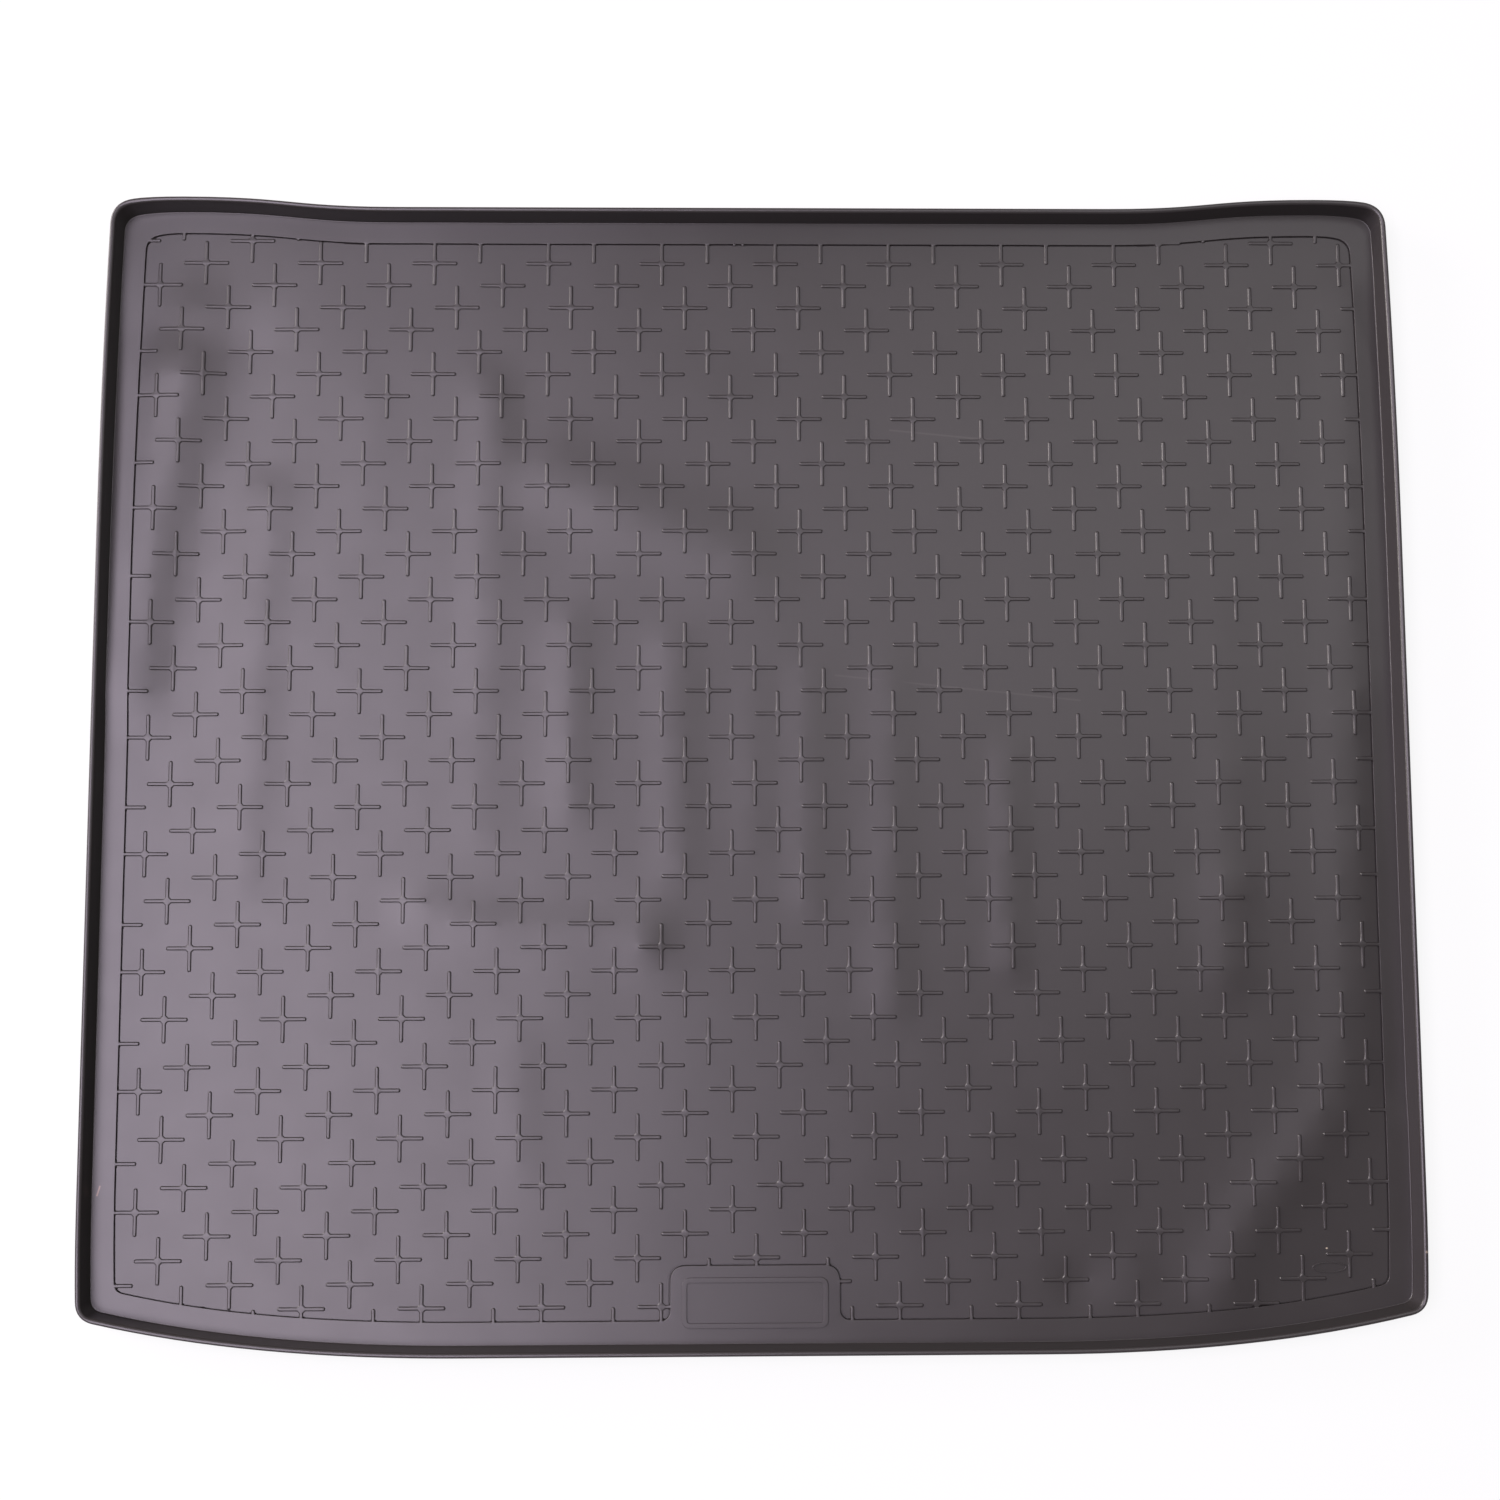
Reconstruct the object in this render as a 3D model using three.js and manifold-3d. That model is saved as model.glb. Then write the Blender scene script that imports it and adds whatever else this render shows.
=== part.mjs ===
// Car boot liner: a shallow tray moulded in one piece of black rubber, with a turned-up wall all
// round and a sunken floor field that carries a pattern of raised cross ribs.
// Millimetres. +X runs across the car, +Y towards the back seats, +Z up, and the origin lies
// under the middle of the tray.
import * as THREE from 'three';
import { mergeVertices } from 'three/addons/utils/BufferGeometryUtils.js';
import Module from 'manifold-3d';

const wasm = await Module();
wasm.setup();

// Overall size, over the lip
const overallWidth = 1068.4;
const overallLength = 941;
const overallHeight = 23;

// Far edge, along the back seats: straight in the middle, with a swelling near each corner
const crestFromSide = 64; // from the side of the tray to the top of each swelling
const swellLength = 175; // from there to the straight stretch
const swellRise = 8.4; // the swellings stand this far out of the straight stretch
const cornerFall = 5; // and the edge falls back this far from them to the corners

// Near edge, along the boot sill: straight in the middle, sweeping up to both corners
const sweepFromSide = 139; // from the side of the tray to where the sweep's two tangents cross
const sweepLength = 165; // from there to the straight stretch
const sweepRise = 31.7; // from the straight stretch up to the corner

// Sides: parallel, drawn in towards both ends
const farTaper = 4.4;
const farTaperLength = 290;
const nearTaper = 2;
const nearTaperLength = 90;

// How far from each corner its rounding starts, near and far
const outerRounding = { near: 14, far: 18 };
const wallRounding = { near: 9, far: 13 };
const fieldRounding = { near: 10, far: 10 };

// Wall section
const lipWidth = 4.2; // top of the wall
const lipRound = 1.6;
const wallLean = 2.5; // both faces lean out by this over the wall's height
const footRadius = 1.5;
const footSteps = 3;

// Floor
const marginWidth = 18.5; // smooth band between the wall and the step line
const fieldThickness = 2.5;
const fieldDepth = 1; // the field lies this much lower than the margin
const stepLean = 0.3;

// Cross ribs: one cross on every fifth crossing of a square grid
const gridPitch = 19;
const crossSpacing = 5; // grid steps from a cross to the next one in its row
const rowShift = 2; // and each row starts this many steps further on
const firstCrossX = 1.25; // from the middle of the tray to the cross nearest to it
const firstCrossY = -16.65;
const armLength = 19;
const ribWidth = 3.4; // where the arms meet, and they run out to their tips
const ribClearance = 0.05; // the crosses end this much below the margin
const ribRoot = 0.2; // and start this deep in the floor
const fieldOverlap = 1; // ribs that run into the margin end this far inside it

// Badge place: a bare frame on a tab that the margin sends into the field
const tabWidth = 136;
const tabDepth = 43; // from the step line
const tabRound = 13;
const tabFillet = 9;
const frameInset = 9.7; // from the edge of the tab
const frameHeight = 39.5;
const frameRound = 7;
const frameLine = 4;
const frameRelief = 0.8;

// Small oval mark near the right-hand corner, bare inside
const ovalWidth = 28;
const ovalHeight = 9;
const ovalLine = 1.3;
const ovalRelief = 0.5;
const ovalFromSide = 74.2;
const ovalFromNear = 63.5;
const ovalSteps = 20;

const curveSteps = 5; // straight pieces in each curve of the outline

// Levels and insets that follow from the sizes above
const halfWidth = overallWidth / 2;
const halfLength = overallLength / 2;
const marginTop = fieldThickness + fieldDepth;
const footInset = lipWidth + wallLean;
const fieldInset = footInset + marginWidth;

const towards = (from, to, distance) => to.clone().sub(from).setLength(distance).add(from);

// Outline of the tray, drawn in from its outer edge by inset, with its corners rounded
function outline(inset, rounding) {
  const side = halfWidth - inset;
  const near = inset - halfLength;
  const far = halfLength - inset;

  const sweep = new THREE.Vector2(halfWidth - sweepFromSide, near);
  const slope = sweepRise / sweepFromSide;
  const nearSide = side - nearTaper;
  const nearCorner = new THREE.Vector2(nearSide, near + slope * (nearSide - sweep.x));
  const nearWaist = new THREE.Vector2(side, nearCorner.y + nearTaperLength / 2);
  const crest = new THREE.Vector2(halfWidth - crestFromSide, far);
  const farCorner = new THREE.Vector2(side - farTaper, far - cornerFall);
  const farWaist = new THREE.Vector2(side, farCorner.y - farTaperLength / 2);
  const shoulder = new THREE.Vector2((crest.x + farCorner.x) / 2, far);
  const straight = new THREE.Vector2(crest.x - swellLength, far - swellRise);

  const path = new THREE.Path();
  const curve = (control, end) => path.quadraticCurveTo(control.x, control.y, end.x, end.y);
  path.moveTo(sweep.x - sweepLength, near);
  curve(sweep, towards(nearCorner, sweep, rounding.near));
  curve(nearCorner, towards(nearCorner, nearWaist, rounding.near));
  curve(nearWaist, new THREE.Vector2(side, nearCorner.y + nearTaperLength));
  path.lineTo(side, farCorner.y - farTaperLength);
  curve(farWaist, towards(farCorner, farWaist, rounding.far));
  curve(farCorner, towards(farCorner, shoulder, rounding.far));
  curve(shoulder, crest);
  const middle = (crest.x + straight.x) / 2;
  path.bezierCurveTo(middle, crest.y, middle, straight.y, straight.x, straight.y);

  const right = path.getPoints(curveSteps);
  const left = right.map((point) => new THREE.Vector2(-point.x, point.y)).reverse();
  return [...right, ...left];
}

// Closed solid through a list of rings with the same number of points, capped at both ends
function loft(rings) {
  const count = rings[0].points.length;
  const positions = rings.flatMap(({ points, z }) => points.flatMap((point) => [point.x, point.y, z]));
  const bottom = THREE.ShapeUtils.triangulateShape(rings[0].points, []);
  const top = THREE.ShapeUtils.triangulateShape(rings.at(-1).points, []);
  const topStart = (rings.length - 1) * count;
  const index = [];
  for (const [a, b, c] of bottom) index.push(a, c, b);
  for (const [a, b, c] of top) index.push(topStart + a, topStart + b, topStart + c);
  for (let ring = 0; ring < rings.length - 1; ring++) {
    for (let i = 0; i < count; i++) {
      const lower = ring * count + i;
      const lowerNext = ring * count + (i + 1) % count;
      index.push(lower, lowerNext, lowerNext + count, lower, lowerNext + count, lower + count);
    }
  }
  const geometry = new THREE.BufferGeometry();
  geometry.setAttribute('position', new THREE.Float32BufferAttribute(positions, 3));
  geometry.setIndex(index);
  return geometry;
}

function solidOf(geometry) {
  const plain = geometry.clone();
  plain.deleteAttribute('normal');
  plain.deleteAttribute('uv');
  const merged = mergeVertices(plain);
  return new wasm.Manifold(new wasm.Mesh({
    numProp: 3,
    vertProperties: new Float32Array(merged.attributes.position.array),
    triVerts: new Uint32Array(merged.index.array),
  }));
}

function geometryOf(solid) {
  const mesh = solid.getMesh();
  const geometry = new THREE.BufferGeometry();
  geometry.setAttribute('position', new THREE.BufferAttribute(mesh.vertProperties, 3));
  geometry.setIndex(new THREE.BufferAttribute(mesh.triVerts, 1));
  geometry.computeVertexNormals();
  return geometry;
}

function plate(shape, bottom, top) {
  const geometry = new THREE.ExtrudeGeometry(shape, {
    depth: top - bottom,
    bevelEnabled: false,
    curveSegments: curveSteps,
  });
  return solidOf(geometry.translate(0, 0, bottom));
}

// Tray: up the outer face, over the lip, down the inner face and across margin, step and field
function makeTray() {
  const lipTop = overallHeight;
  const ring = (inset, z, rounding) => ({ points: outline(inset, rounding), z });
  const rings = [
    ring(wallLean, 0, outerRounding),
    ring(0, lipTop - lipRound, outerRounding),
    ring(lipRound, lipTop, outerRounding),
    ring(lipWidth - lipRound, lipTop, wallRounding),
    ring(lipWidth, lipTop - lipRound, wallRounding),
  ];
  for (let step = 0; step <= footSteps; step++) {
    const angle = (step / footSteps) * (Math.PI / 2);
    const inset = footInset + footRadius * (1 - Math.cos(angle));
    rings.push(ring(inset, marginTop + footRadius * (1 - Math.sin(angle)), wallRounding));
  }
  rings.push(ring(fieldInset, marginTop, fieldRounding));
  rings.push(ring(fieldInset + stepLean, fieldThickness, fieldRounding));
  return solidOf(loft(rings));
}

// One cross: an eight-sided pyramid with every second corner drawn in to where the arms meet
function makeCross() {
  const height = fieldDepth - ribClearance;
  const spread = (height + ribRoot) / height;
  const crotch = ribWidth / 2;
  const geometry = new THREE.ConeGeometry(armLength * spread, height + ribRoot, 8);
  geometry.rotateX(Math.PI / 2);
  geometry.translate(0, 0, fieldThickness + (height - ribRoot) / 2);
  const positions = geometry.attributes.position;
  for (let i = 0; i < positions.count; i++) {
    const x = positions.getX(i);
    const y = positions.getY(i);
    const diagonal = Math.min(Math.abs(x), Math.abs(y)) > armLength / 4;
    if (diagonal) positions.setXY(i, Math.sign(x) * crotch * spread, Math.sign(y) * crotch * spread);
  }
  return solidOf(geometry);
}

// All crosses that reach into the field, ended just inside the margin
function makeCrosses() {
  const cross = makeCross();
  const columns = Math.ceil(halfWidth / gridPitch);
  const rows = Math.ceil(halfLength / gridPitch);
  const reach = armLength - fieldInset;
  let crosses = null;
  for (let row = -rows; row <= rows; row++) {
    for (let column = -columns; column <= columns; column++) {
      if ((column - rowShift * row) % crossSpacing !== 0) continue;
      const x = firstCrossX + column * gridPitch;
      const y = firstCrossY + row * gridPitch;
      if (Math.abs(x) > halfWidth + reach || Math.abs(y) > halfLength + reach) continue;
      const placed = cross.translate([x, y, 0]);
      crosses = crosses ? crosses.add(placed) : placed;
    }
  }
  const limit = new THREE.Shape(outline(fieldInset - fieldOverlap, fieldRounding));
  return crosses.intersect(plate(limit, 0, marginTop));
}

function roundedRectangle(left, bottom, right, top, radius) {
  const corners = [[right, bottom], [right, top], [left, top], [left, bottom]];
  const points = corners.map(([x, y]) => new THREE.Vector2(x, y));
  const shape = new THREE.Shape();
  points.forEach((corner, i) => {
    const start = towards(corner, points[(i + 3) % 4], radius);
    const end = towards(corner, points[(i + 1) % 4], radius);
    if (i === 0) shape.moveTo(start.x, start.y);
    else shape.lineTo(start.x, start.y);
    shape.quadraticCurveTo(corner.x, corner.y, end.x, end.y);
  });
  return shape;
}

// Tab with rounded corners that runs out of the margin with a fillet on each side
function makeTab() {
  const half = tabWidth / 2;
  const stepLine = fieldInset - halfLength;
  const root = stepLine - fieldOverlap;
  const top = stepLine + tabDepth;
  const shape = new THREE.Shape();
  shape.moveTo(-half - tabFillet, root);
  shape.lineTo(half + tabFillet, root);
  shape.lineTo(half + tabFillet, stepLine);
  shape.quadraticCurveTo(half, stepLine, half, stepLine + tabFillet);
  shape.lineTo(half, top - tabRound);
  shape.quadraticCurveTo(half, top, half - tabRound, top);
  shape.lineTo(tabRound - half, top);
  shape.quadraticCurveTo(-half, top, -half, top - tabRound);
  shape.lineTo(-half, stepLine + tabFillet);
  shape.quadraticCurveTo(-half, stepLine, -half - tabFillet, stepLine);
  return plate(shape, fieldThickness / 2, marginTop);
}

function makeFrame() {
  const half = tabWidth / 2 - frameInset;
  const top = fieldInset - halfLength + tabDepth - frameInset;
  const bottom = top - frameHeight;
  const shape = roundedRectangle(-half, bottom, half, top, frameRound);
  const inner = roundedRectangle(
    frameLine - half, bottom + frameLine, half - frameLine, top - frameLine, frameRound - frameLine / 2,
  );
  shape.holes.push(inner);
  return plate(shape, marginTop / 2, marginTop + frameRelief);
}

function makeOval() {
  const x = halfWidth - ovalFromSide;
  const y = ovalFromNear - halfLength;
  const ellipse = (width, height) => new THREE.EllipseCurve(x, y, width / 2, height / 2)
    .getPoints(ovalSteps).slice(1);
  const shape = new THREE.Shape(ellipse(ovalWidth, ovalHeight));
  shape.holes.push(new THREE.Path(ellipse(ovalWidth - 2 * ovalLine, ovalHeight - 2 * ovalLine)));
  return plate(shape, fieldThickness / 2, fieldThickness + ovalRelief);
}

const solid = makeTray().add(makeCrosses()).add(makeTab()).add(makeFrame()).add(makeOval());

const rubber = new THREE.MeshStandardMaterial({ color: 0x302d2c, roughness: 0.36, metalness: 0 });
const liner = new THREE.Mesh(geometryOf(solid), rubber);
liner.name = 'boot_liner';

const model = new THREE.Group();
model.add(liner);

export default model;
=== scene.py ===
# Car boot liner: one tray moulded in black rubber, with a turned-up wall and a ribbed floor.
# Sizes in the dictionaries are millimetres in the tray's own frame, with the underside on z = 0.
import math
import bpy
import bmesh
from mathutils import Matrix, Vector, geometry, noise


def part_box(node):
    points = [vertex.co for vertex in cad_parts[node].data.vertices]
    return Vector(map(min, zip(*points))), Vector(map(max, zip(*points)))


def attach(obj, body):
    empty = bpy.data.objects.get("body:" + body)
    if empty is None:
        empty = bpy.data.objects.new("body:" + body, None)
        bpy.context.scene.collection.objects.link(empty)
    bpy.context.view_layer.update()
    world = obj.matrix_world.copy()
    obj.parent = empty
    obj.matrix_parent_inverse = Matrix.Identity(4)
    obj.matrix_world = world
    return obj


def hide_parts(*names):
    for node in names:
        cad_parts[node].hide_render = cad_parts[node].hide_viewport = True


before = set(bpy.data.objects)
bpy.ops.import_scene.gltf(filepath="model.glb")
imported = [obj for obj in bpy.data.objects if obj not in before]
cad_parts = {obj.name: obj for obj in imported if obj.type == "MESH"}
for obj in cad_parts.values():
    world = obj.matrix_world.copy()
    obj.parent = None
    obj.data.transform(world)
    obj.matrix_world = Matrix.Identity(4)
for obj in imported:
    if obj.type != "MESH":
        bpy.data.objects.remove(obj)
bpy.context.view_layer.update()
mm = 0.001


def linear(hexColour):  # sRGB hex to the linear colour that nodes and lamps take
    parts = [int(hexColour[i:i + 2], 16) / 255 for i in (1, 3, 5)]
    return [c / 12.92 if c <= 0.04045 else ((c + 0.055) / 1.055) ** 2.4 for c in parts] + [1]


# Plan of the tray

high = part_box("boot_liner")[1]  # the tray is centred, so one corner of its box is enough
tray = {
    "halfWidth": high.x / mm,
    "halfLength": high.y / mm,
    "height": high.z / mm,
    "crestFromSide": 64, "swellLength": 175, "swellRise": 8.4, "cornerFall": 5,  # far edge
    "sweepFromSide": 139, "sweepLength": 165, "sweepRise": 31.7,  # near edge
    "farTaper": 4.4, "farTaperLength": 290, "nearTaper": 2, "nearTaperLength": 90,  # sides
    "outerRounding": (14, 18), "wallRounding": (9, 13), "fieldRounding": (7, 10),  # near, far
    "lipWidth": 4.2, "wallLean": 2.5, "marginWidth": 18.5, "marginTop": 3.5, "floor": 2.5,
}
footInset = tray["lipWidth"] + tray["wallLean"]
fieldInset = footInset + tray["marginWidth"]
tab = {"halfWidth": 68, "depth": 43, "round": 13, "fillet": 9}
planSteps = {  # points along each stretch of the plan
    "tabTop": 4, "tabRound": 8, "tabSide": 2, "tabFillet": 6,
    "near": 12, "sweep": 16, "nearCorner": 8, "nearWaist": 5, "side": 28, "farWaist": 14,
    "farCorner": 10, "shoulder": 4, "swell": 13, "far": 15,
}
tolerance = 0.02  # heights closer than this are the same
flat = 0.9  # a face lies flat if its normal has this much of z


def run(points, end, steps):  # straight on from the last point
    start = points[-1]
    points += [start.lerp(end, step / steps) for step in range(1, steps + 1)]


def bend(points, control, end, steps):  # quadratic curve on from the last point
    start = points[-1]
    for step in range(1, steps + 1):
        t = step / steps
        points.append(start.lerp(control, t).lerp(control.lerp(end, t), t))


def towards(start, end, distance):
    return start + (end - start).normalized() * distance


def tabEdge(near, grow):  # from the tab's middle down to the near step line, grown sideways
    half = tab["halfWidth"] + grow
    top = near + tab["depth"]
    points = [Vector((0, top))]
    run(points, Vector((half - tab["round"], top)), planSteps["tabTop"])
    bend(points, Vector((half, top)), Vector((half, top - tab["round"])), planSteps["tabRound"])
    run(points, Vector((half, near + tab["fillet"])), planSteps["tabSide"])
    bend(points, Vector((half, near)), Vector((half + tab["fillet"], near)),
         planSteps["tabFillet"])
    return points


def outline(inset, rounding, withTab=False):  # whole plan, drawn in by the inset
    nearRound, farRound = tray[rounding]
    side = tray["halfWidth"] - inset
    near = inset - tray["halfLength"]
    far = tray["halfLength"] - inset
    sweep = Vector((tray["halfWidth"] - tray["sweepFromSide"], near))
    slope = tray["sweepRise"] / tray["sweepFromSide"]
    nearSide = side - tray["nearTaper"]
    nearCorner = Vector((nearSide, near + slope * (nearSide - sweep.x)))
    nearWaist = Vector((side, nearCorner.y + tray["nearTaperLength"] / 2))
    crest = Vector((tray["halfWidth"] - tray["crestFromSide"], far))
    farCorner = Vector((side - tray["farTaper"], far - tray["cornerFall"]))
    farWaist = Vector((side, farCorner.y - tray["farTaperLength"] / 2))
    shoulder = Vector(((crest.x + farCorner.x) / 2, far))
    straight = Vector((crest.x - tray["swellLength"], far - tray["swellRise"]))
    middle = (crest.x + straight.x) / 2

    right = tabEdge(near, inset - fieldInset) if withTab else [Vector((0, near))]
    run(right, Vector((sweep.x - tray["sweepLength"], near)), planSteps["near"])
    bend(right, sweep, towards(nearCorner, sweep, nearRound), planSteps["sweep"])
    bend(right, nearCorner, towards(nearCorner, nearWaist, nearRound), planSteps["nearCorner"])
    bend(right, nearWaist, Vector((side, nearCorner.y + tray["nearTaperLength"])),
         planSteps["nearWaist"])
    run(right, Vector((side, farCorner.y - tray["farTaperLength"])), planSteps["side"])
    bend(right, farWaist, towards(farCorner, farWaist, farRound), planSteps["farWaist"])
    bend(right, farCorner, towards(farCorner, shoulder, farRound), planSteps["farCorner"])
    bend(right, shoulder, crest, planSteps["shoulder"])
    right += geometry.interpolate_bezier(
        crest, Vector((middle, crest.y)), Vector((middle, straight.y)), straight,
        planSteps["swell"])[1:]
    run(right, Vector((0, straight.y)), planSteps["far"])
    left = [Vector((-point.x, point.y)) for point in right[-2:0:-1]]
    return right + left


# Solids from rings of the plan

def bodyThrough(rings):  # closed body, its skin running from ring to ring: an outline and its z
    bm = bmesh.new()
    place = bm.verts.layers.int.new("place")  # each corner's number in its ring
    points, z = rings[0]
    corners = [bm.verts.new((point.x * mm, point.y * mm, z * mm)) for point in points]
    for number, corner in enumerate(corners):
        corner[place] = number
    base = bm.faces.new(reversed(corners))
    loop = list(base.edges)
    loops = [loop]
    for points, z in rings[1:]:
        grown = bmesh.ops.extrude_edge_only(bm, edges=loop)["geom"]
        for vert in grown:
            if isinstance(vert, bmesh.types.BMVert):
                point = points[vert[place]]
                vert.co = (point.x * mm, point.y * mm, z * mm)
        loop = [edge for edge in grown if isinstance(edge, bmesh.types.BMEdge)
                and edge.is_boundary]
        loops.append(loop)
    bmesh.ops.contextual_create(bm, geom=loop)
    bmesh.ops.recalc_face_normals(bm, faces=bm.faces)
    return bm, loops


def roundOff(bm, affect, geom, width, segments):  # affect says whether geom is edges or corners
    bmesh.ops.bevel(bm, geom=geom, offset=width * mm, offset_type="OFFSET", affect=affect,
                    segments=segments, profile=0.5, material=-1,
                    clamp_overlap=affect == "EDGES")


def objectFrom(bm, name):
    mesh = bpy.data.meshes.new(name)
    bm.to_mesh(mesh)
    bm.free()
    piece = bpy.data.objects.new(name, mesh)
    bpy.context.scene.collection.objects.link(piece)
    return piece


def settle(piece):  # takes what the modifiers make into the piece's own mesh
    done = piece.evaluated_get(bpy.context.evaluated_depsgraph_get())
    mesh = bpy.data.meshes.new_from_object(done)
    piece.modifiers.clear()
    piece.data = mesh


def combine(piece, operation, tool):
    change = piece.modifiers.new("combine", "BOOLEAN")
    change.operation = operation
    change.solver = "MANIFOLD"
    change.object = tool
    settle(piece)
    bpy.data.objects.remove(tool)


wallFinish = {  # width of each rounding and the steps in it
    "foot": (0.6, 3), "lipInner": (2.1, 5), "lipOuter": (1.8, 4), "underEdge": (1.0, 2),
}


def makeTray():
    lipTop = tray["height"]
    bm, loops = bodyThrough([
        (outline(tray["wallLean"], "outerRounding"), 0),
        (outline(0, "outerRounding"), lipTop),
        (outline(tray["lipWidth"], "wallRounding"), lipTop),
        (outline(footInset, "wallRounding"), tray["marginTop"]),
    ])
    smooth = bm.faces.layers.float.new("smooth")  # marks the margin and the wall
    for face in bm.faces:
        face[smooth] = 1
    under, outer, inner, foot = loops
    roundOff(bm, "EDGES", foot, *wallFinish["foot"])
    roundOff(bm, "EDGES", inner, *wallFinish["lipInner"])
    roundOff(bm, "EDGES", outer, *wallFinish["lipOuter"])
    roundOff(bm, "EDGES", under, *wallFinish["underEdge"])
    return objectFrom(bm, "tray")


# Sunken field: cut out of the margin with a body whose underside carries a regular grid

crosses = {
    "pitch": 19, "spacing": 5, "rowShift": 2, "firstX": 1.25, "firstY": -16.65,
    "arm": 19.9, "width": 5.1, "tipRound": (2.04, 2), "crotchRound": (1.1, 1),  # width, steps
    "root": 1.5, "flanks": ((1.44, 2.32), (0.4, 0.15)),  # inward, upward from the root
    "intoMargin": 1.5,  # ribs at the step line end this far inside the margin
}
step = {
    "lean": 0.4, "round": 0.3, "roundMiddle": 0.3,  # share of the rounding left at its middle
    "groove": 0.8, "grooveLean": 0.1, "grooveDepth": 1.3,
    "flare": 0.6, "flareRise": 0.2,  # the cutter widens above the margin, clear of the rounding
}


def gridLines(first, reach):  # two to a pitch, on either side of each rib's own line
    count = math.ceil(reach / crosses["pitch"])
    return [first + (number + share) * crosses["pitch"]
            for number in range(-count - 1, count + 1) for share in (0.25, 0.75)]


def cutField(piece):
    lean, edge, groove = step["lean"], step["round"], step["groove"]
    top, middle = tray["marginTop"], edge * step["roundMiddle"]
    foot = tray["floor"] - step["grooveDepth"]
    past = lean + edge * (1 + step["flare"])
    levels = [(-groove - step["grooveLean"], tray["floor"]), (-groove, foot), (0, foot),
              (lean, top - edge), (lean + middle, top - middle), (lean + edge, top),
              (past, top + step["flareRise"]), (past, tray["height"])]
    rings = [(outline(fieldInset - grow, "fieldRounding", True), z) for grow, z in levels]
    bm, loops = bodyThrough(rings)
    bottom = [face for face in bm.faces if face.normal.z < -flat and len(face.verts) > 4]
    part = set(bottom)
    for face in bottom:
        part.update(face.edges, face.verts)
    cuts = [((x, 0, 0), (1, 0, 0)) for x in gridLines(crosses["firstX"], tray["halfWidth"])]
    cuts += [((0, y, 0), (0, 1, 0)) for y in gridLines(crosses["firstY"], tray["halfLength"])]
    for place, normal in cuts:
        done = bmesh.ops.bisect_plane(bm, geom=list(part), dist=1e-7,
                                      plane_co=Vector(place) * mm, plane_no=normal)
        part.update(done["geom"])
    combine(piece, "DIFFERENCE", objectFrom(bm, "fieldCutter"))


# Cross ribs

def oneCross():
    bm = bmesh.new()
    half = crosses["width"] / 2
    arm = crosses["arm"]
    bottom = tray["floor"] - crosses["root"]
    corners = []
    for turn in range(4):
        angle = turn * math.pi / 2
        along = Vector((math.cos(angle), math.sin(angle)))
        across = Vector((-along.y, along.x))
        middle = (arm + half) / 2  # lets each arm bend with the floor
        for point in (along * middle - across * half, along * arm - across * half,
                      along * arm + across * half, along * middle + across * half,
                      along * half + across * half):
            corners.append(bm.verts.new((point.x * mm, point.y * mm, bottom * mm)))
    bm.faces.new(corners)
    reach = {vert: vert.co.to_2d().length / mm for vert in corners}
    tips = [vert for vert in corners if reach[vert] >= arm]
    crotches = [vert for vert in corners if reach[vert] < crosses["width"]]
    roundOff(bm, "VERTICES", tips, *crosses["tipRound"])
    roundOff(bm, "VERTICES", crotches, *crosses["crotchRound"])
    for inward, upward in crosses["flanks"]:
        top = [face for face in bm.faces if len(face.verts) > 4]
        bmesh.ops.inset_individual(bm, faces=top, thickness=inward * mm, depth=upward * mm,
                                   use_even_offset=True)
    bmesh.ops.contextual_create(bm, geom=[edge for edge in bm.edges if edge.is_boundary])
    bmesh.ops.recalc_face_normals(bm, faces=bm.faces)
    mesh = bpy.data.meshes.new("cross")
    bm.to_mesh(mesh)
    bm.free()
    return mesh


def addCrosses(piece):
    cross = oneCross()
    bm = bmesh.new()
    columns = math.ceil(tray["halfWidth"] / crosses["pitch"])
    rows = math.ceil(tray["halfLength"] / crosses["pitch"])
    for row in range(-rows, rows + 1):
        for column in range(-columns, columns + 1):
            if (column - crosses["rowShift"] * row) % crosses["spacing"]:
                continue
            x = crosses["firstX"] + column * crosses["pitch"]
            y = crosses["firstY"] + row * crosses["pitch"]
            known = len(bm.verts)
            bm.from_mesh(cross)
            bm.verts.ensure_lookup_table()
            bmesh.ops.translate(bm, verts=bm.verts[known:], vec=(x * mm, y * mm, 0))
    ribs = objectFrom(bm, "ribs")
    edge = outline(fieldInset - crosses["intoMargin"], "fieldRounding", True)
    limit, loops = bodyThrough([(edge, 0), (edge, tray["height"])])
    combine(ribs, "INTERSECT", objectFrom(limit, "limit"))
    combine(piece, "UNION", ribs)


# Badge frame and oval mark, both bare inside

badge = {"halfWidth": 58.3, "height": 39.5, "belowTab": 9.7, "round": 6.5, "roundSteps": 6,
         "line": 4, "rise": 1.1, "soften": 0.3}
oval = {"x": 460, "y": -407, "halfWidth": 14, "halfHeight": 4.5, "steps": 32,
        "line": 1.2, "rise": 0.6, "soften": 0.3}
ringRoot = {"depth": 1, "softenSteps": 3}  # each ring starts this deep in the rubber


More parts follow.
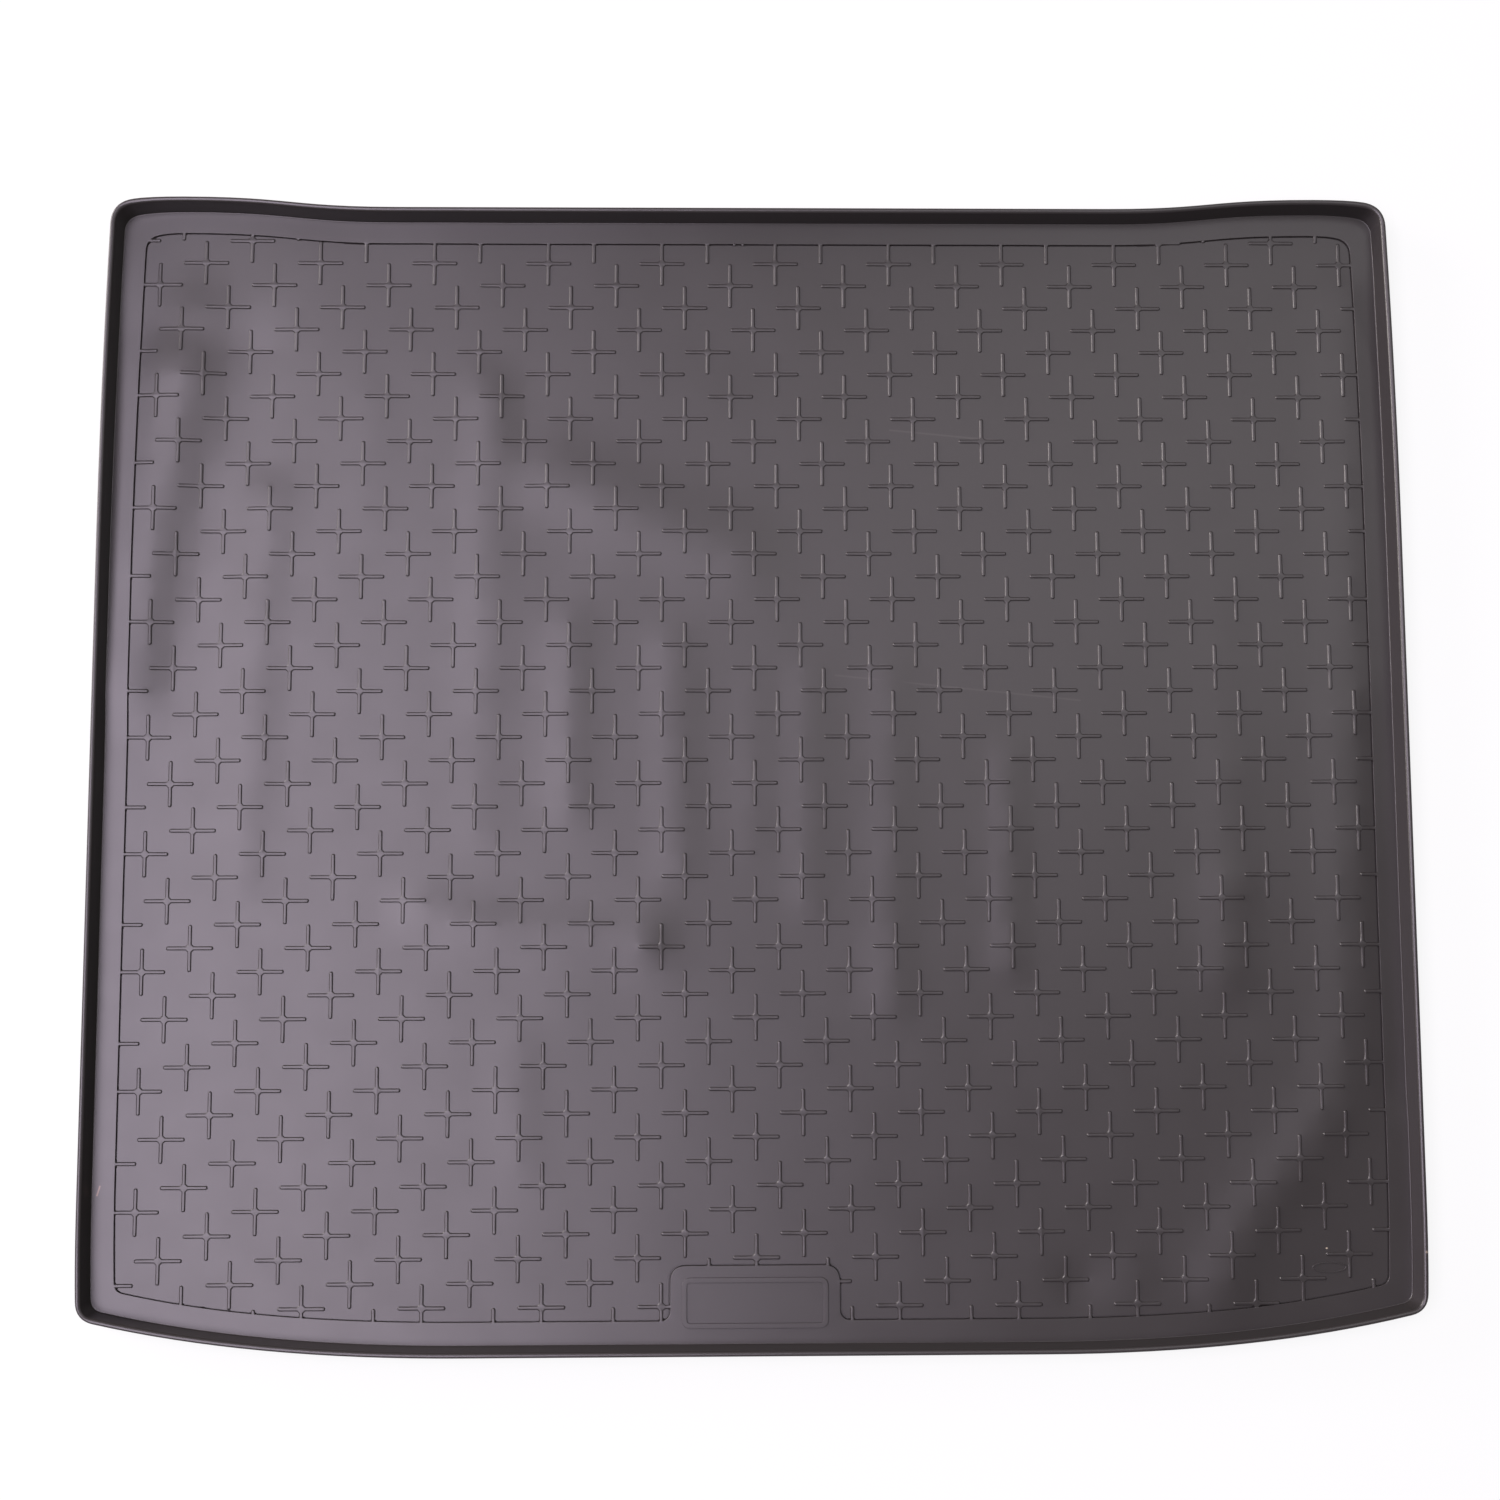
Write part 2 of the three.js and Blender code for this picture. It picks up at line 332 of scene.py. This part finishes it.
def raiseRing(piece, bm, mark, ground):
    # bm holds one flat face: its inset makes the ring, which is raised out of the ground
    rise = ringRoot["depth"] + mark["rise"]
    bmesh.ops.translate(bm, verts=bm.verts[:], vec=(0, 0, (ground - ringRoot["depth"]) * mm))
    ring = bmesh.ops.inset_individual(bm, faces=bm.faces[:], thickness=mark["line"] * mm,
                                      use_even_offset=True)["faces"]
    middle = [face for face in bm.faces if face not in ring]
    bmesh.ops.delete(bm, geom=middle, context="FACES")
    grown = bmesh.ops.extrude_face_region(bm, geom=bm.faces[:], use_keep_orig=True)["geom"]
    verts = [vert for vert in grown if isinstance(vert, bmesh.types.BMVert)]
    bmesh.ops.translate(bm, verts=verts, vec=(0, 0, rise * mm))
    bmesh.ops.recalc_face_normals(bm, faces=bm.faces)
    level = ground + mark["rise"] - tolerance
    crest = [edge for edge in bm.edges if all(vert.co.z > level * mm for vert in edge.verts)
             and any(face.normal.z < flat for face in edge.link_faces)]  # not across the top
    roundOff(bm, "EDGES", crest, mark["soften"], ringRoot["softenSteps"])
    combine(piece, "UNION", objectFrom(bm, "ring"))


def addBadge(piece):
    top = fieldInset - tray["halfLength"] + tab["depth"] - badge["belowTab"]
    bottom = top - badge["height"]
    half = badge["halfWidth"]
    bm = bmesh.new()
    corners = [bm.verts.new((x * mm, y * mm, 0))
               for x, y in ((-half, bottom), (half, bottom), (half, top), (-half, top))]
    bm.faces.new(corners)
    roundOff(bm, "VERTICES", corners, badge["round"], badge["roundSteps"])
    raiseRing(piece, bm, badge, tray["marginTop"])


def addOval(piece):
    bm = bmesh.new()
    bmesh.ops.create_circle(bm, cap_ends=True, segments=oval["steps"],
                            radius=oval["halfWidth"] * mm)
    bmesh.ops.scale(bm, verts=bm.verts[:], vec=(1, oval["halfHeight"] / oval["halfWidth"], 1))
    bmesh.ops.translate(bm, verts=bm.verts[:], vec=(oval["x"] * mm, oval["y"] * mm, 0))
    raiseRing(piece, bm, oval, tray["floor"])


# Two nubs on the far step line, where the mould was filled

nubs = {"x": (-14, -7), "radius": 1.3, "rise": 0.5, "steps": (12, 8)}


def addNubs(piece):
    y = tray["halfLength"] - fieldInset - tray["swellRise"]
    around, upward = nubs["steps"]
    bm = bmesh.new()
    for x in nubs["x"]:
        made = bmesh.ops.create_uvsphere(bm, u_segments=around, v_segments=upward,
                                         radius=nubs["radius"] * mm)
        bmesh.ops.scale(bm, verts=made["verts"], vec=(1, 1, nubs["rise"] / nubs["radius"]))
        bmesh.ops.translate(bm, verts=made["verts"],
                            vec=(x * mm, y * mm, tray["marginTop"] * mm))
    combine(piece, "UNION", objectFrom(bm, "nubs"))


liner = makeTray()
print("tray: wall, lip and margin made")
cutField(liner)
print("field: sunk into the margin, with its tab")
addCrosses(liner)
print("crosses: joined to the field")
addBadge(liner)
addOval(liner)
addNubs(liner)
print("badge frame, oval and nubs: joined")


creases = {"foot": 12, "elsewhere": 58}  # degrees past which an edge looks sharp


def markCreases(piece):  # the ribs keep a crisp foot and a rounded back
    bm = bmesh.new()
    bm.from_mesh(piece.data)
    for edge in bm.edges:
        onFloor = all(abs(vert.co.z / mm - tray["floor"]) < tolerance for vert in edge.verts)
        limit = creases["foot"] if onFloor else creases["elsewhere"]
        edge.smooth = edge.calc_face_angle(0) < math.radians(limit)
    bm.to_mesh(piece.data)
    bm.free()


markCreases(liner)


# Broad waves that the rubber keeps from being stored rolled up

storageWaves = {
    "flatBelow": 1.1,  # the underside and its edge don't follow them
    "fadeFrom": 5, "fadeTo": 12,  # heights between which the wall stops following them
    "strokes": [  # points along the crest, half-width, rise (a hollow is negative)
        (((-477, 318), (-488, 252), (-501, 185), (-511, 66)), 21, 3.9),  # along the left side
        (((-465, 372), (-471, 350)), 20, 1.7),
        (((-412, 342), (-430, 252), (-456, 134), (-474, 56)), 22, -1.5),
        (((-400, 218), (-410, 134), (-411, 5), (-417, -95)), 14, 1.6),
        (((-222, 315), (-222, 50)), 14, 0.9), (((-222, 10), (-222, -50)), 14, 0.5),  # uprights
        (((-214, 300), (-211, 262)), 13, 0.8), (((-198, 230), (-198, 110)), 22, 0.5),
        (((-316, 300), (-316, 200)), 15, 0.5),
        (((-150, 110), (-150, -32)), 13, 1.1), (((-66, 95), (-62, -80)), 13, 0.95),
        (((-2, 70), (-3, -70)), 9, 0.3), (((47, 72), (45, -112)), 10, 0.7),
        (((114, 72), (112, -190)), 13, 1.2), (((209, 5), (207, -160)), 10, 1.4),
        (((-160, 236), (-92, 207), (-12, 174)), 23, 2.0), (((0, 170), (24, 151)), 16, 0.3),
        (((-268, -122), (-200, -136), (-92, -143)), 14, 2.6),  # low across
        (((-78, -124), (-76, -158)), 20, 0.8), (((-195, -230), (-188, -320)), 15, 0.7),
        (((388, 150), (387, 20)), 13, 0.5), (((387, -10), (386, -90)), 14, 1.1),
        (((386, -110), (384, -170)), 15, 2.0),
        (((496, 390), (489, 60)), 15, 1.3), (((526, 390), (523, 60)), 10, -1.3),  # right side
        (((487, 30), (480, -195), (470, -275), (436, -323), (397, -370), (376, -418)), 16, 2.0),
        (((522, 40), (522, -270)), 10, -2.0), (((468, -290), (376, -400)), 36, 1.6),
        (((258, -418), (258, -420)), 12, -1.2), (((303, -406), (303, -412)), 12, 0.9),  # dent
    ],
    "unevenSize": 75, "unevenRise": 0.35,  # slight unevenness all over
}


def gapTo(point, points):  # distance to the nearest stretch of a stroke
    gaps = []
    for start, end in zip(points, points[1:]):
        start, end = Vector(start), Vector(end)
        share = (point - start).dot(end - start) / (end - start).length_squared
        gaps.append((point - start.lerp(end, min(max(share, 0), 1))).length)
    return min(gaps)


def waveRise(point):  # how far the rubber is raised at this place of the plan
    rise = storageWaves["unevenRise"] * noise.noise((point / storageWaves["unevenSize"]).to_3d())
    for points, width, height in storageWaves["strokes"]:
        rise += height * math.exp(-0.5 * (gapTo(point, points) / width) ** 2)
    return rise


def addWaves(piece):
    fadeFrom, fadeTo = storageWaves["fadeFrom"], storageWaves["fadeTo"]
    bm = bmesh.new()
    bm.from_mesh(piece.data)
    bmesh.ops.triangulate(bm, faces=[face for face in bm.faces if len(face.verts) > 4])
    for vert in bm.verts:
        x, y, z = vert.co / mm
        if storageWaves["flatBelow"] < z < fadeTo:
            keep = min(1, (fadeTo - z) / (fadeTo - fadeFrom))
            vert.co.z += keep * waveRise(Vector((x, y))) * mm
    bm.to_mesh(piece.data)
    bm.free()


addWaves(liner)
print("waves: raised in the floor")


def finishShape(piece):
    piece.name = "linerBody"
    piece.data.name = "linerBody"
    piece.data.shade_smooth()
    even = piece.modifiers.new("even", "WEIGHTED_NORMAL")  # keeps the wide flat faces flat
    even.keep_sharp = True
    even.mode = "FACE_AREA"
    even.weight = 50
    settle(piece)
    print("liner:", sum(len(face.vertices) - 2 for face in piece.data.polygons), "triangles")
    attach(piece, "root")
    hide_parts("boot_liner")


finishShape(liner)


# Material

def addNode(nodes, links, kind, settings, inputs):
    # one node with its settings, its fixed values and its links from other sockets
    node = nodes.new(kind)
    for name, value in settings.items():
        setattr(node, name, value)
    for name, value in inputs.items():
        if isinstance(value, bpy.types.NodeSocket):
            links.new(value, node.inputs[name])
        else:
            node.inputs[name].default_value = value
    return node


rubber = {
    "colour": "#302D2C", "ior": 1.6,
    "fieldRoughness": 0.36, "smoothRoughness": 0.34,  # the margin and wall are a little smoother
    "cloud": 38, "cloudDetail": 2, "cloudDepth": 0.035,  # patches polished or dulled by use
    # the real grain is 0.3 mm wide, too fine to show, so it is drawn coarser
    "grain": 2, "grainDetail": 1, "grainHeight": 0.012,
}
markFade = (0.5, 1.5)  # shares of a mark's half-width between which it fades out
marks = [  # x, y, z at both ends, half-width, strength
    {"from": (115, 278, 2.5), "to": (207, 269, 2.5), "half": 0.7, "share": 0.05,
     "colour": "#A8A29C"},
    {"from": (68, 72, 2.5), "to": (269, 51, 2.5), "half": 0.7, "share": 0.04,
     "colour": "#A8A29C"},
    {"from": (458, -392, 2.5), "to": (458.3, -392, 2.5), "half": 0.65, "share": 0.9,
     "colour": "#CFC3A9"},
    {"from": (484, -429, 2.5), "to": (484.3, -429, 2.5), "half": 0.8, "share": 0.25,
     "colour": "#A8A29C"},
    {"from": (532, -393, 23), "to": (532.4, -393, 22), "half": 0.9, "share": 0.5,
     "colour": "#BDB09A"},
    {"from": (-523, -345, 3.5), "to": (-521, -338, 3.5), "half": 0.6, "share": 0.55,
     "colour": "#B08F7C"},
]


def noiseAt(nodes, links, place, size, detail):  # size of its patches in millimetres
    return addNode(nodes, links, "ShaderNodeTexNoise", {},
                   {"Vector": place, "Scale": 1 / (size * mm), "Detail": detail}).outputs["Fac"]


def markShare(nodes, links, place, mark):  # 1 along the mark's middle line, 0 beside it
    start, end = Vector(mark["from"]) * mm, Vector(mark["to"]) * mm
    span = end - start
    offset = addNode(nodes, links, "ShaderNodeVectorMath", {"operation": "SUBTRACT"},
                     {0: place, 1: start})
    along = addNode(nodes, links, "ShaderNodeVectorMath", {"operation": "DOT_PRODUCT"},
                    {0: offset.outputs["Vector"], 1: span / span.length_squared})
    kept = addNode(nodes, links, "ShaderNodeClamp", {}, {"Value": along.outputs["Value"]})
    nearest = addNode(nodes, links, "ShaderNodeVectorMath", {"operation": "SCALE"},
                      {0: span, "Scale": kept.outputs["Result"]})
    gap = addNode(nodes, links, "ShaderNodeVectorMath", {"operation": "DISTANCE"},
                  {0: offset.outputs["Vector"], 1: nearest.outputs["Vector"]})
    return addNode(nodes, links, "ShaderNodeMapRange", {"interpolation_type": "SMOOTHSTEP"},
                   {"Value": gap.outputs["Value"], "From Min": mark["half"] * markFade[0] * mm,
                    "From Max": mark["half"] * markFade[1] * mm, "To Min": mark["share"],
                    "To Max": 0}).outputs["Result"]


def mouldedRubber():  # near-black with a broad soft gloss, so that it shows the lamps as greys
    material = bpy.data.materials.new("mouldedRubber")
    material.use_nodes = True
    nodes, links = material.node_tree.nodes, material.node_tree.links
    shader = nodes["Principled BSDF"]
    shader.inputs["IOR"].default_value = rubber["ior"]
    place = addNode(nodes, links, "ShaderNodeTexCoord", {}, {}).outputs["Object"]

    smooth = addNode(nodes, links, "ShaderNodeAttribute", {"attribute_name": "smooth"}, {})
    plain = addNode(nodes, links, "ShaderNodeMapRange", {},
                    {"Value": smooth.outputs["Fac"], "To Min": rubber["fieldRoughness"],
                     "To Max": rubber["smoothRoughness"]})
    cloud = noiseAt(nodes, links, place, rubber["cloud"], rubber["cloudDetail"])
    uneven = addNode(nodes, links, "ShaderNodeMapRange", {},
                     {"Value": cloud, "To Min": -rubber["cloudDepth"],
                      "To Max": rubber["cloudDepth"]})
    gloss = addNode(nodes, links, "ShaderNodeMath", {"operation": "ADD"},
                    {0: plain.outputs["Result"], 1: uneven.outputs["Result"]})
    links.new(gloss.outputs[0], shader.inputs["Roughness"])

    grain = noiseAt(nodes, links, place, rubber["grain"], rubber["grainDetail"])
    dents = addNode(nodes, links, "ShaderNodeBump", {},
                    {"Height": grain, "Distance": rubber["grainHeight"] * mm})
    links.new(dents.outputs["Normal"], shader.inputs["Normal"])

    colour = addNode(nodes, links, "ShaderNodeRGB", {}, {}).outputs[0]
    colour.default_value = linear(rubber["colour"])
    for mark in marks:  # dust, scuffs and a bit of fibre; 6, 7 and 2 are the colour sockets
        mixed = addNode(nodes, links, "ShaderNodeMix", {"data_type": "RGBA"},
                        {"Factor": markShare(nodes, links, place, mark), 6: colour,
                         7: linear(mark["colour"])})
        colour = mixed.outputs[2]
    links.new(colour, shader.inputs["Base Color"])
    return material


liner.data.materials.clear()
liner.data.materials.append(mouldedRubber())
print("material: moulded rubber on the liner")


# Camera, lamps and ground

cameraPlace = {"place": (-34.4, -175.3, 1714.8), "turn": (6.191, -1.043, -0.215),
               "lens": 50.54, "sensor": 36}


def makeCamera():
    data = bpy.data.cameras.new("camera")
    data.lens = cameraPlace["lens"]
    data.sensor_width = cameraPlace["sensor"]
    camera = bpy.data.objects.new("camera", data)
    camera.location = Vector(cameraPlace["place"]) * mm
    camera.rotation_euler = [math.radians(angle) for angle in cameraPlace["turn"]]
    bpy.context.scene.collection.objects.link(camera)
    bpy.context.scene.camera = camera


makeCamera()

lamps = [
    {"name": "key", "place": (-1700, -180, 4000), "size": (3900, 2700), "power": 202,
     "colour": "#F9EBFF"},
    {"name": "window", "place": (-3300, 1700, 900), "size": (2600, 1400), "power": 150,
     "colour": "#FFF6F4"},
    {"name": "fill", "place": (840, 710, 2200), "size": (1400, 1600), "power": 9.6,
     "colour": "#FFFAFF"},
]


def makeLamps():
    for lamp in lamps:
        data = bpy.data.lights.new(lamp["name"], "AREA")
        data.shape = "RECTANGLE"
        data.size, data.size_y = lamp["size"][0] * mm, lamp["size"][1] * mm
        data.energy = lamp["power"]
        data.color = linear(lamp["colour"])[:3]
        light = bpy.data.objects.new(lamp["name"], data)
        light.location = Vector(lamp["place"]) * mm
        light.rotation_euler = (-light.location).to_track_quat("-Z", "Y").to_euler()
        bpy.context.scene.collection.objects.link(light)


makeLamps()

sky = {"colour": "#FFFDFA", "strength": 0.2}
paleGround = {"halfSize": 6000, "colour": "#F2F2F2", "white": 0.85}  # the rest keeps the shadow


def makeGround():
    bm = bmesh.new()
    bmesh.ops.create_grid(bm, x_segments=1, y_segments=1, size=paleGround["halfSize"] * mm)
    ground = objectFrom(bm, "ground")
    material = bpy.data.materials.new("paleGround")
    material.use_nodes = True
    nodes, links = material.node_tree.nodes, material.node_tree.links
    nodes.clear()
    rays = addNode(nodes, links, "ShaderNodeLightPath", {}, {})
    shade = addNode(nodes, links, "ShaderNodeBsdfDiffuse", {},
                    {"Color": linear(paleGround["colour"])})
    glow = addNode(nodes, links, "ShaderNodeEmission", {}, {"Color": (1, 1, 1, 1), "Strength": 1})
    mirrored = addNode(nodes, links, "ShaderNodeMath", {"operation": "ADD"},
                       {0: rays.outputs["Is Glossy Ray"], 1: rays.outputs["Is Transmission Ray"]})
    direct = addNode(nodes, links, "ShaderNodeMath", {"operation": "ADD"},
                     {0: rays.outputs["Is Camera Ray"], 1: mirrored.outputs[0]})
    seen = addNode(nodes, links, "ShaderNodeMath", {"operation": "MULTIPLY"},
                   {0: direct.outputs[0], 1: paleGround["white"]})
    mixed = addNode(nodes, links, "ShaderNodeMixShader", {},
                    {0: seen.outputs[0], 1: shade.outputs[0], 2: glow.outputs[0]})
    addNode(nodes, links, "ShaderNodeOutputMaterial", {}, {"Surface": mixed.outputs[0]})
    ground.data.materials.append(material)


makeGround()

world = bpy.data.worlds.new("sky")
bpy.context.scene.world = world
world.use_nodes = True
background = world.node_tree.nodes["Background"]
background.inputs["Color"].default_value = linear(sky["colour"])
background.inputs["Strength"].default_value = sky["strength"]
bpy.context.scene.view_settings.view_transform = "Standard"
print("camera, lamps and ground: placed")
